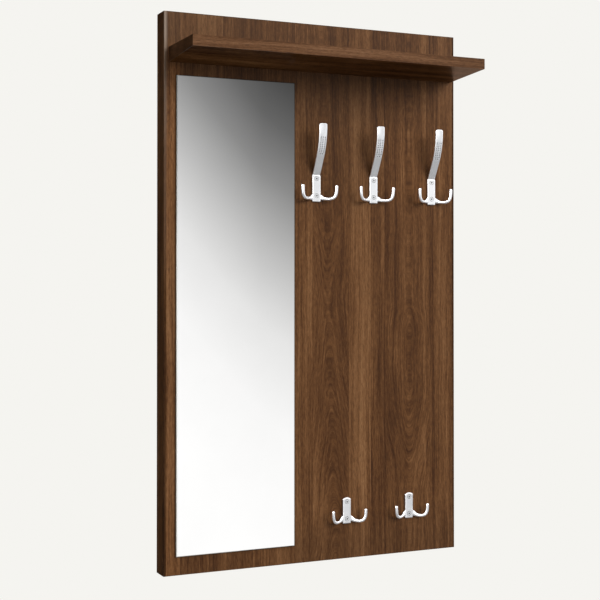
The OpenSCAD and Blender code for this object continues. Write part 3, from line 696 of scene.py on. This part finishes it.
# Grid of the castings (m), rounds of smoothing, and angle from which an edge stays sharp (degrees)
CAST_GRID = 0.00050
SOFT_ROUNDS = 6
SHARP_FROM = 42.0


def ring_mesh(bm, rings):
    """Closed skin over rings of points, capped at both ends."""
    made = [[bm.verts.new(Vector(p) / 1000.0) for p in ring] for ring in rings]
    sides = len(made[0])
    for low, high in zip(made, made[1:]):
        for k in range(sides):
            bm.faces.new((low[k], low[(k + 1) % sides], high[(k + 1) % sides], high[k]))
    bm.faces.new(list(reversed(made[0])))
    bm.faces.new(made[-1])


def bar_section(half, bevel, crown):
    """Arm section: (x, depth inward from the front), with rounded front edges and a faint hollow."""
    crown_steps = 6
    inner = half - EDGE_R
    turns = [math.radians(90 * k / EDGE_STEPS) for k in range(EDGE_STEPS + 1)]
    corner = [(inner + EDGE_R * math.sin(a), bevel + EDGE_R - EDGE_R * math.cos(a)) for a in turns]
    back = [(half, HOOK_T - BACK_R - bevel), (half - BACK_R, HOOK_T - bevel),
            (BACK_R - half, HOOK_T - bevel), (-half, HOOK_T - BACK_R - bevel)]
    other_corner = [(-x, depth) for x, depth in reversed(corner)]
    shares = [-1 + 2 * k / crown_steps for k in range(1, crown_steps)]
    hollow = [(inner * s, bevel + crown * (1 - s * s)) for s in shares]
    return corner + back + other_corner + hollow


def arm_path():
    """Front face of the long arm: (y, z, lean) every millimetre or so."""
    path = []
    low_y, low_z = HOOK_T + LOW_R * math.cos(ROOT_A), PLATE_H - LOW_R * math.sin(ROOT_A)
    for k in range(1, LOW_STEPS + 1):
        a = ROOT_A + (LEAN_A - ROOT_A) * k / LOW_STEPS
        path.append((low_y - LOW_R * math.cos(a), low_z + LOW_R * math.sin(a), a))
    up_y = END_Y - UP_R
    for k in range(1, UP_STEPS + 1):
        a = LEAN_A * (1 - k / UP_STEPS)
        path.append((up_y + UP_R * math.cos(a), END_Z - UP_R * math.sin(a), a))
    return path


def arm_ring(y, z, lean, half, bevel=0.0, crown=CROWN):
    """Arm section at a place of the front face, turned to the lean."""
    return [(x, y - depth * math.cos(lean), z + depth * math.sin(lean))
            for x, depth in bar_section(half, bevel, crown)]


def arm_rings():
    """Long arm from inside its plate to its rounded tip."""
    half = ARM_W / 2
    root_y = HOOK_T - ARM_SET_BACK
    rings = [arm_ring(root_y, PLATE_H - below, lean, half, crown=crown)
             for (below, crown), lean in zip(ROOT_SECTIONS, (0.0, ROOT_A / 2))]
    for y, z, a in arm_path():
        set_back = ARM_SET_BACK * max(0, 1 - (z - PLATE_H) / SET_BACK_H) ** 2
        rings.append(arm_ring(y - set_back, z, a, half))
    bevels = {TIP_STEPS - 1: 0.35, TIP_STEPS: 1.0}
    for k in range(1, TIP_STEPS + 1):
        a = math.radians(TIP_TURN * k / TIP_STEPS)
        z = END_Z + TIP_H - TIP_R + TIP_R * math.sin(a)
        width = max(half - TIP_R + TIP_R * math.cos(a), EDGE_R + 0.3)
        rings.append(arm_ring(END_Y, z, 0, width, bevels.get(k, 0.0), CROWN * (1 - k / TIP_STEPS)))
    return rings


def arc(x, z, radius, start, sweep, steps):
    """Points of an arc from an angle (degrees) over a sweep."""
    angles = [math.radians(start + sweep * k / steps) for k in range(steps + 1)]
    return [(x + radius * math.cos(a), z + radius * math.sin(a)) for a in angles]


def plate_outline(height, domed):
    """Front outline of a plate: rounded foot corners and a square or domed top."""
    half = HOOK_W / 2
    outline = arc(FOOT_R - half, FOOT_R, FOOT_R, 180, 90, 8) + arc(half - FOOT_R, FOOT_R, FOOT_R, 270, 90, 8)
    if not domed:
        return outline + [(half, height), (-half, height)]
    edge = math.degrees(math.acos(half / DOME_R))
    return outline + arc(0.0, height - DOME_R, DOME_R, edge, 180 - 2 * edge, 16)


def plate_rings(height, domed):
    """Flat plate from its chamfered back to its rounded front edges."""
    outline = plate_outline(height, domed)
    inward = []
    for (ax, az), (bx, bz) in zip(outline[-1:] + outline[:-1], outline[1:] + outline[:1]):
        n = math.hypot(bx - ax, bz - az)
        inward.append(((az - bz) / n, (bx - ax) / n))
    layers = [(0.0, PLATE_CHAMFER), (PLATE_CHAMFER, 0.0), (HOOK_T - EDGE_R, 0.0)]
    for k in range(1, EDGE_STEPS + 1):
        a = math.radians(90 * k / EDGE_STEPS)
        layers.append((HOOK_T - EDGE_R + EDGE_R * math.sin(a), EDGE_R * (1 - math.cos(a))))
    return [[(x + nx * inset, y, z + nz * inset) for (x, z), (nx, nz) in zip(outline, inward)]
            for y, inset in layers]


def blend(a, b, c, d, share):
    """Place between b and c on a smooth curve through all four, value by value."""
    return [0.5 * (2 * q + (r - p) * share + (2 * p - 5 * q + 4 * r - s) * share * share
                   + (3 * q - p - 3 * r + s) * share ** 3)
            for p, q, r, s in zip(a, b, c, d)]


def prong_path(reach, forward, root_z, low_z, tip_z):
    """Middle line of a prong with its half thickness, half height and turn."""
    turn_all = math.atan2(forward, reach)
    keys = [(HOOK_W / 2 + reach * s[0], HOOK_T / 2 + forward * s[1],
             low_z + (root_z - low_z) * s[2] + (tip_z - low_z) * s[3],
             ROD_R * s[4], ROD_R * s[5], turn_all * s[6]) for s in PRONG]
    path = []
    last = len(keys) - 1
    for i in range(last):
        around = keys[max(i - 1, 0)], keys[i], keys[i + 1], keys[min(i + 2, last)]
        for k in range(PRONG_STEPS):
            path.append(blend(*around, k / PRONG_STEPS))
    return path + [list(keys[last])]


def prong_ring(side, at, ahead, half_t, half_h, turn):
    """Oval section of a prong at a place, square to the way ahead."""
    across = Vector((-math.sin(turn), math.cos(turn), 0))
    up = ahead.cross(across).normalized()
    points = []
    for k in range(PRONG_SIDES):
        a = 2 * math.pi * k / PRONG_SIDES
        p = at + across * half_t * math.cos(a) - up * half_h * math.sin(a)
        points.append((side * p.x, p.y, p.z))
    return points if side > 0 else list(reversed(points))


def prong_rings(side, *sizes):
    """Prong to the right (side 1) or left (side -1), with a round end."""
    path = prong_path(*sizes)
    end = len(path) - 1
    rings = []
    for i, (x, y, z, half_t, half_h, turn) in enumerate(path):
        before, after = path[max(i - 1, 0)], path[min(i + 1, end)]
        ahead = (Vector(after[:3]) - Vector(before[:3])).normalized()
        rings.append(prong_ring(side, Vector((x, y, z)), ahead, half_t, half_h, turn))
    tip = Vector(path[end][:3])
    ahead = (tip - Vector(path[end - 1][:3])).normalized()
    for a in (15, 30, 45, 60, 75):
        c, s = math.cos(math.radians(a)), math.sin(math.radians(a))
        rings.append(prong_ring(side, tip + ahead * ROD_R * s, ahead, ROD_R * c, ROD_R * c, path[end][5]))
    return rings


def hole_rings(height):
    """Countersunk screw hole through the plate."""
    angles = [2 * math.pi * k / HOLE_SIDES for k in range(HOLE_SIDES)]
    return [[(r * math.cos(a), y, height + r * math.sin(a)) for a in angles] for y, r in HOLE]


def mesh_object(name, bm, material=None):
    bmesh.ops.recalc_face_normals(bm, faces=bm.faces)
    data = bpy.data.meshes.new(name)
    bm.to_mesh(data)
    bm.free()
    if material:
        data.materials.append(material)
    obj = bpy.data.objects.new(name, data)
    scene.collection.objects.link(obj)
    return obj


def applied(obj, name):
    """Mesh of obj with its modifiers applied."""
    bpy.context.view_layer.update()
    graph = bpy.context.evaluated_depsgraph_get()
    data = bpy.data.meshes.new_from_object(obj.evaluated_get(graph))
    data.name = name
    return data


def drop(obj):
    bpy.data.objects.remove(obj, do_unlink=True)


def dimple_centres():
    """Middle and lean of each dimple: three columns, with two dimples below them."""
    path = arm_path()
    lengths = [0.0]
    for (y0, z0, _), (y1, z1, _) in zip(path, path[1:]):
        lengths.append(lengths[-1] + math.hypot(y1 - y0, z1 - z0))

    def at(length):
        """Place and lean at a length along the arm."""
        for i in range(1, len(path)):
            if lengths[i] >= length:
                share = (length - lengths[i - 1]) / (lengths[i] - lengths[i - 1])
                return [p + (q - p) * share for p, q in zip(path[i - 1], path[i])]
        return list(path[-1])

    start = next(length for length, (_, z, _) in zip(lengths, path) if z > DIMPLE_Z)
    centres = []
    for row in range(DIMPLE_ROWS):
        centres += [(DIMPLE_SPREAD * column, *at(start + DIMPLE_PITCH * row)) for column in (-1, 0, 1)]
    return centres + [(DIMPLE_SPREAD * side / 2, *at(start - DIMPLE_PITCH)) for side in (-1, 1)]


def arm_dimples(data):
    """Presses small round dimples into the front of the arm, with painted shade at their bottom."""
    centres = dimple_centres()
    dimple_shade = set()
    for v in data.vertices:
        x, y, z = v.co * 1000
        if not DIMPLE_ZONE[0] < z < DIMPLE_ZONE[1] or abs(x) > DIMPLE_HALF_W or v.normal.y < 0.5:
            continue
        for cx, cy, cz, lean in centres:
            r2 = (x - cx) ** 2 + ((z - cz) / math.cos(lean)) ** 2
            if r2 < DIMPLE_R ** 2 and abs(y - cy) < DIMPLE_NEAR:
                push = DIMPLE_DEPTH * (1 - r2 / DIMPLE_R ** 2) ** DIMPLE_POWER
                v.co.y -= push * math.cos(lean) / 1000
                v.co.z += push * math.sin(lean) / 1000
                if r2 < DIMPLE_SHADE_R ** 2:
                    dimple_shade.add(v.index)
                break
    for polygon in data.polygons:
        if all(index in dimple_shade for index in polygon.vertices):
            polygon.material_index = 1


def cast_body(name, plate_h, prongs, long_arm):
    """Plate, prongs and long arm run together and softened, as one mesh."""
    bm = bmesh.new()
    ring_mesh(bm, plate_rings(plate_h, not long_arm))
    if long_arm:
        ring_mesh(bm, arm_rings())
    for side in (1, -1):
        ring_mesh(bm, prong_rings(side, *prongs))
    body = mesh_object(name + "_raw", bm)
    remesh = body.modifiers.new("cast", "REMESH")
    remesh.mode = "VOXEL"
    remesh.voxel_size = CAST_GRID
    remesh.adaptivity = 0.0
    smooth = body.modifiers.new("soft", "SMOOTH")
    smooth.factor = 0.5
    smooth.iterations = SOFT_ROUNDS
    data = applied(body, name + "_cast")
    drop(body)
    return data


def make_hook_mesh(name, plate_h, prongs, screws, long_arm, finishes):
    """Finished casting with its screw holes; finishes are the casting's own and the painted shade of the
    dimples and of the holes.
    """
    cast, dimple_shade, hole_shade = finishes
    data = cast_body(name, plate_h, prongs, long_arm)
    data.materials.append(cast)
    data.materials.append(dimple_shade)
    if long_arm:
        arm_dimples(data)
    body = bpy.data.objects.new(name + "_cast", data)
    scene.collection.objects.link(body)
    bm = bmesh.new()
    for height in screws:
        ring_mesh(bm, hole_rings(height))
    tool = mesh_object(name + "_tool", bm, hole_shade)
    cut = body.modifiers.new("holes", "BOOLEAN")
    cut.operation = "DIFFERENCE"
    cut.solver = "EXACT"
    cut.material_mode = "TRANSFER"
    cut.object = tool
    data = applied(body, name)
    drop(body)
    drop(tool)
    for polygon in data.polygons:
        polygon.use_smooth = True
    data.set_sharp_from_angle(angle=math.radians(SHARP_FROM))
    return data


def place_hook(node, data):
    """Stands the finished hook where the CAD hook is."""
    low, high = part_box(node)
    obj = bpy.data.objects.new(node + "_cast", data)
    scene.collection.objects.link(obj)
    obj.location = ((low.x + high.x) / 2, high.y, low.z)
    obj.rotation_euler = (0, 0, math.pi)
    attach(obj, "root")
    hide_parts(node)


def make_hooks():
    finishes = (
        metal("cast_aluminium", (0.92, 0.93, 0.955), (0.975, 0.98, 1.0), 0.30),
        # Dark metal painted into the bottoms of the dimples as shade
        metal("cast_dimple_shade", (0.13, 0.135, 0.145), (0.20, 0.205, 0.215), 0.45),
        # Dark metal painted into the screw holes as shade
        metal("hook_hole_shade", (0.08, 0.08, 0.09), (0.13, 0.13, 0.14), 0.50))
    upper = make_hook_mesh("upper_hook", PLATE_H, UPPER_PRONGS, UPPER_SCREWS, True, finishes)
    lower = make_hook_mesh("lower_hook", LOWER_PLATE_H, LOWER_PRONGS, LOWER_SCREWS, False, finishes)
    for node in ("upper_hook_left", "upper_hook_centre", "upper_hook_right"):
        place_hook(node, upper)
    for node in ("lower_hook_left", "lower_hook_right"):
        place_hook(node, lower)


# ---------- CAD nodes ----------

def dress(names, material, bevel=0.0):
    """Gives CAD nodes a material, and soft edges of a width (m)."""
    for name in names.split():
        obj = nodes[name]
        obj.data.materials.clear()
        obj.data.materials.append(material)
        if bevel:
            soft = obj.modifiers.new("soft_edges", "BEVEL")
            soft.width = bevel
            soft.segments = 2
            soft.limit_method = "ANGLE"
            soft.angle_limit = math.radians(40)


def dress_panel():
    dress("front_board", walnut("walnut_face", "z", board=True, edge_light=True))
    dress("left_lipping right_lipping",
          walnut("walnut_edge_z", "z", level=0.72, edge_light=True, rough=0.36, specular=0.08))
    dress("top_band bottom_band", walnut("walnut_band", "x", level=0.58), 0.00025)
    dress("left_stile right_stile top_rail bottom_rail", core_board(), 0.0004)
    dress("mirror_glass", mirror_glass())
    dress("mirror_film", plain("mirror_film", (0.16, 0.18, 0.20), (0.22, 0.24, 0.26), 0.45, 0.08))
    dress("mirror_tape", plain("mounting_tape", (0.70, 0.70, 0.68), (0.80, 0.80, 0.78), 0.75, 1.6))


def dress_shelf():
    dress("shelf_board", walnut("walnut_cross", "x", level=0.98, rough=0.32, specular=0.014,
                                gloss_tint=(1.0, 0.78, 0.58), gloss_left=0.05))
    # The shelf's front band is tinted paler and bluer: a painted sheen
    dress("shelf_front_band", walnut("walnut_edge_x", "x", level=0.98, tint=(0.98, 1.02, 1.20)), 0.00035)
    dress("shelf_left_band shelf_right_band",
          walnut("walnut_end", "x", level=0.47, rough=0.40, specular=0.06), 0.00025)
    dress("shelf_dowels", beech())


def dress_fasteners():
    # Screw heads turn dark behind the hooks' front face: painted shade in the countersinks
    steel = metal("screw_steel", (0.88, 0.89, 0.91), (0.96, 0.965, 0.98), 0.28, cast_scale=1.2, bump=0.06,
                  face=FRONT_FACE - HOOK_T)
    zinc = metal("zinc_steel", (0.44, 0.46, 0.50), (0.68, 0.70, 0.74), 0.36, cast_scale=0.35, brush=0.35,
                 bump=0.06)
    dress("shelf_screws hanger_screws", zinc)
    dress("left_hanger right_hanger", zinc, 0.00012)
    dress("upper_hook_screws lower_hook_screws", steel)


# ---------- surroundings ----------

BACKGROUND = (0.913, 0.905, 0.871)
FLOOR_Z = -1.90
FLOOR_HALF = 2.4
# Share of the floor's brightness that the light makes; the rest glows, so that a shadow stays soft
FLOOR_LIT = 0.60
FLOOR_PALE = ((0.0, (0.738, 0.760, 0.790)), (1.0, (0.748, 0.771, 0.800)))
# Colour of the floor in the light that it throws back and in what shines
FLOOR_BOUNCE = (0.30, 0.29, 0.27)
FLOOR_GLOSS = (0.55, 0.57, 0.615)


def shiny_ray(t, path):
    return t.math("ADD", path.outputs["Is Glossy Ray"], path.outputs["Is Transmission Ray"], clamp=True)


def make_floor():
    bm = bmesh.new()
    h = FLOOR_HALF
    corners = [bm.verts.new((x, y, FLOOR_Z)) for x, y in ((-h, -h), (h, -h), (h, h), (-h, h))]
    bm.faces.new(corners)
    obj = mesh_object("floor", bm)
    material, t = new_material("floor")
    coord = t.add("ShaderNodeTexCoord")
    speck = t.noise(coord.outputs["Object"], 6.0, 3.0, 0.6)
    path = t.add("ShaderNodeLightPath")
    seen = path.outputs["Is Camera Ray"]
    color = t.mix(seen, FLOOR_BOUNCE, t.ramp(speck, FLOOR_PALE))
    color = t.mix(shiny_ray(t, path), color, FLOOR_GLOSS)
    diffuse = t.add("ShaderNodeBsdfDiffuse")
    t.put(diffuse.inputs["Color"], color)
    glow = t.add("ShaderNodeEmission")
    glow.inputs["Color"].default_value = (*(b * (1 - FLOOR_LIT) for b in BACKGROUND), 1.0)
    t.put(glow.inputs["Strength"], seen)
    both = t.add("ShaderNodeAddShader")
    t.put(both.inputs[0], diffuse.outputs[0])
    t.put(both.inputs[1], glow.outputs[0])
    out = t.add("ShaderNodeOutputMaterial")
    t.put(out.inputs["Surface"], both.outputs[0])
    obj.data.materials.append(material)


# In what follows, dx, dy and dz are the parts of a direction: dx to the right, dy to the wall, dz up.
# Each thing of the room has limits of them, between which it comes or goes

# Dark flag that the mirror shows, high and to the right of the front
FLAG_DX, FLAG_DY, FLAG_DZ = (0.12, 0.28, 0.415, 0.50), (-0.55, -0.10), (0.19, 0.32)
# Place across its slanting edge: start, and what dz, dx and dx past the bend add to it
SLANT_START, SLANT_DZ, SLANT_DX, SLANT_BENT = 864.0, -1248.7, -1600.0, 580.0
# Where the edge bends, how wide it fades, and its tones across the fade
SLANT_BEND, SLANT_W = 0.385, 560.0
FADE_TONES = (
    (0.00, 0.020), (0.06, 0.062), (0.15, 0.132), (0.25, 0.262),
    (0.38, 0.525), (0.52, 0.800), (0.68, 0.955), (0.93, 1.020))
# Softboxes to the right and to the left, and how strong they are
RIGHT_DX, RIGHT_DZ, RIGHT_POWER = (0.46, 0.62), (-0.02, 0.16, 0.45, 0.75), 0.55
LEFT_DX, LEFT_DY, LEFT_DZ = (-0.80, -0.45), (-0.10, 0.20), (0.03, 0.40, 0.50, 0.80)
LEFT_POWER = 12.0
# Room behind the wall, and the share of light that it lacks on the left
BEHIND_DX, BEHIND_DY, BEHIND_DARK = (0.10, 0.35), (0.25, 0.75), 0.98
# Light of the rest of the room, what it has more above, and its share below
ROOM_POWER = 1.06
ABOVE_DZ, ABOVE_MORE = (0.30, 0.60), 1.2
BELOW_DZ, BELOW_SHARE = (-0.46, 0.00), 0.40
# Warm wall low behind to the right, and what it has more of red and green
WARM_DX, WARM_DY, WARM_DZ = (0.30, 0.42), (0.50, 0.70), (-0.10, 0.0)
WARM_RED, WARM_GREEN = 1.3, 0.45
# Grey band low in front to the right, and how much of the light it takes
GREY_DX, GREY_DY, GREY_DZ = (0.425, 0.46), (-0.5, -0.3), (-0.36, -0.26, -0.14, -0.05)
GREY_DARK = 0.55
# Diffuse light of the room from below, from level and from above
AMBIENT = ((0.0, (0.205, 0.185, 0.155)), (0.5, (0.325, 0.300, 0.255)), (1.0, (0.425, 0.400, 0.345)))


def flag_light(t, dx, dy, dz):
    """Where the dark flag stands, and its tone."""
    past_bend = t.math("MAXIMUM", t.plus(dx, -SLANT_BEND), 0.0)
    slant = t.plus(t.times(dz, SLANT_DZ), t.times(dx, SLANT_DX), t.times(past_bend, SLANT_BENT), SLANT_START)
    where = t.times(t.band(dx, *FLAG_DX), t.fall(dz, *FLAG_DZ), t.fall(dy, *FLAG_DY))
    return where, t.ramp(t.times(slant, 1.0 / SLANT_W), FADE_TONES)


def room_light(t, dx, dy, dz):
    """Softboxes to the right and to the left, the unlit room behind and the grey ground below."""
    right = t.times(t.step(dx, *RIGHT_DX), t.band(dz, *RIGHT_DZ))
    left = t.times(t.fall(dx, *LEFT_DX), t.band(dz, *LEFT_DZ), t.fall(dy, *LEFT_DY))
    behind = t.times(t.step(dy, *BEHIND_DY), t.step(dx, *BEHIND_DX, BEHIND_DARK, 0.0))
    lit = t.plus(1.0, t.times(behind, -1.0))
    below = t.step(dz, *BELOW_DZ, BELOW_SHARE, 1.0)
    above = t.plus(ROOM_POWER, t.step(dz, *ABOVE_DZ, 0.0, ABOVE_MORE))
    return t.plus(t.times(above, below, lit), t.times(right, lit, RIGHT_POWER), t.times(left, LEFT_POWER))


def shine_light(t, dx, dy, dz):
    """What shiny surfaces show: the room with its warm wall, the flag and the grey band."""
    room = room_light(t, dx, dy, dz)
    warm = t.times(t.step(dy, *WARM_DY), t.step(dx, *WARM_DX), t.fall(dz, *WARM_DZ))
    red, green = (t.times(room, t.plus(1.0, t.times(warm, more))) for more in (WARM_RED, WARM_GREEN))
    where, tone = flag_light(t, dx, dy, dz)
    shine = t.mix(where, t.vector(red, green, room), tone)
    grey = t.times(t.step(dx, *GREY_DX), t.band(dz, *GREY_DZ), t.fall(dy, *GREY_DY))
    return t.dim(shine, t.plus(1.0, t.times(grey, -GREY_DARK)))


def make_world():
    world = bpy.data.worlds.new("studio")
    scene.world = world
    world.use_nodes = True
    t = Tree(world.node_tree)
    coord = t.add("ShaderNodeTexCoord")
    dx, dy, dz = t.split(coord.outputs["Generated"])
    path = t.add("ShaderNodeLightPath")
    ambient = t.ramp(t.times(t.plus(dz, 1.0), 0.5), AMBIENT)
    # Diffuse light, what shiny surfaces show, and the plain background that is seen directly
    layers = []
    for color in (ambient, shine_light(t, dx, dy, dz), (*BACKGROUND, 1.0)):
        node = t.add("ShaderNodeBackground")
        t.put(node.inputs["Color"], color)
        layers.append(node.outputs[0])
    first = t.add("ShaderNodeMixShader")
    t.put(first.inputs[0], t.times(shiny_ray(t, path), t.below(path.outputs["Diffuse Depth"], 0.5)))
    t.put(first.inputs[1], layers[0])
    t.put(first.inputs[2], layers[1])
    second = t.add("ShaderNodeMixShader")
    t.put(second.inputs[0], path.outputs["Is Camera Ray"])
    t.put(second.inputs[1], first.outputs[0])
    t.put(second.inputs[2], layers[2])
    out = t.add("ShaderNodeOutputWorld")
    t.put(out.inputs["Surface"], second.outputs[0])


# Lamp: how far up and to the right of the front it stands, its width (degrees) and its power
LAMP_UP, LAMP_RIGHT, LAMP_W = 24.0, 30.0, 38.0
LAMP_POWER = 2.68


def make_lamp():
    """Soft distant lamp in front, to the right and above, which shiny surfaces don't show."""
    data = bpy.data.lights.new("key", "SUN")
    data.energy = LAMP_POWER
    data.angle = math.radians(LAMP_W)
    obj = bpy.data.objects.new("key", data)
    obj.rotation_euler = (math.radians(90 - LAMP_UP), 0.0, math.radians(LAMP_RIGHT))
    obj.visible_glossy = False
    scene.collection.objects.link(obj)


make_camera()
dress_panel()
dress_shelf()
dress_fasteners()
make_hooks()
make_floor()
make_world()
make_lamp()
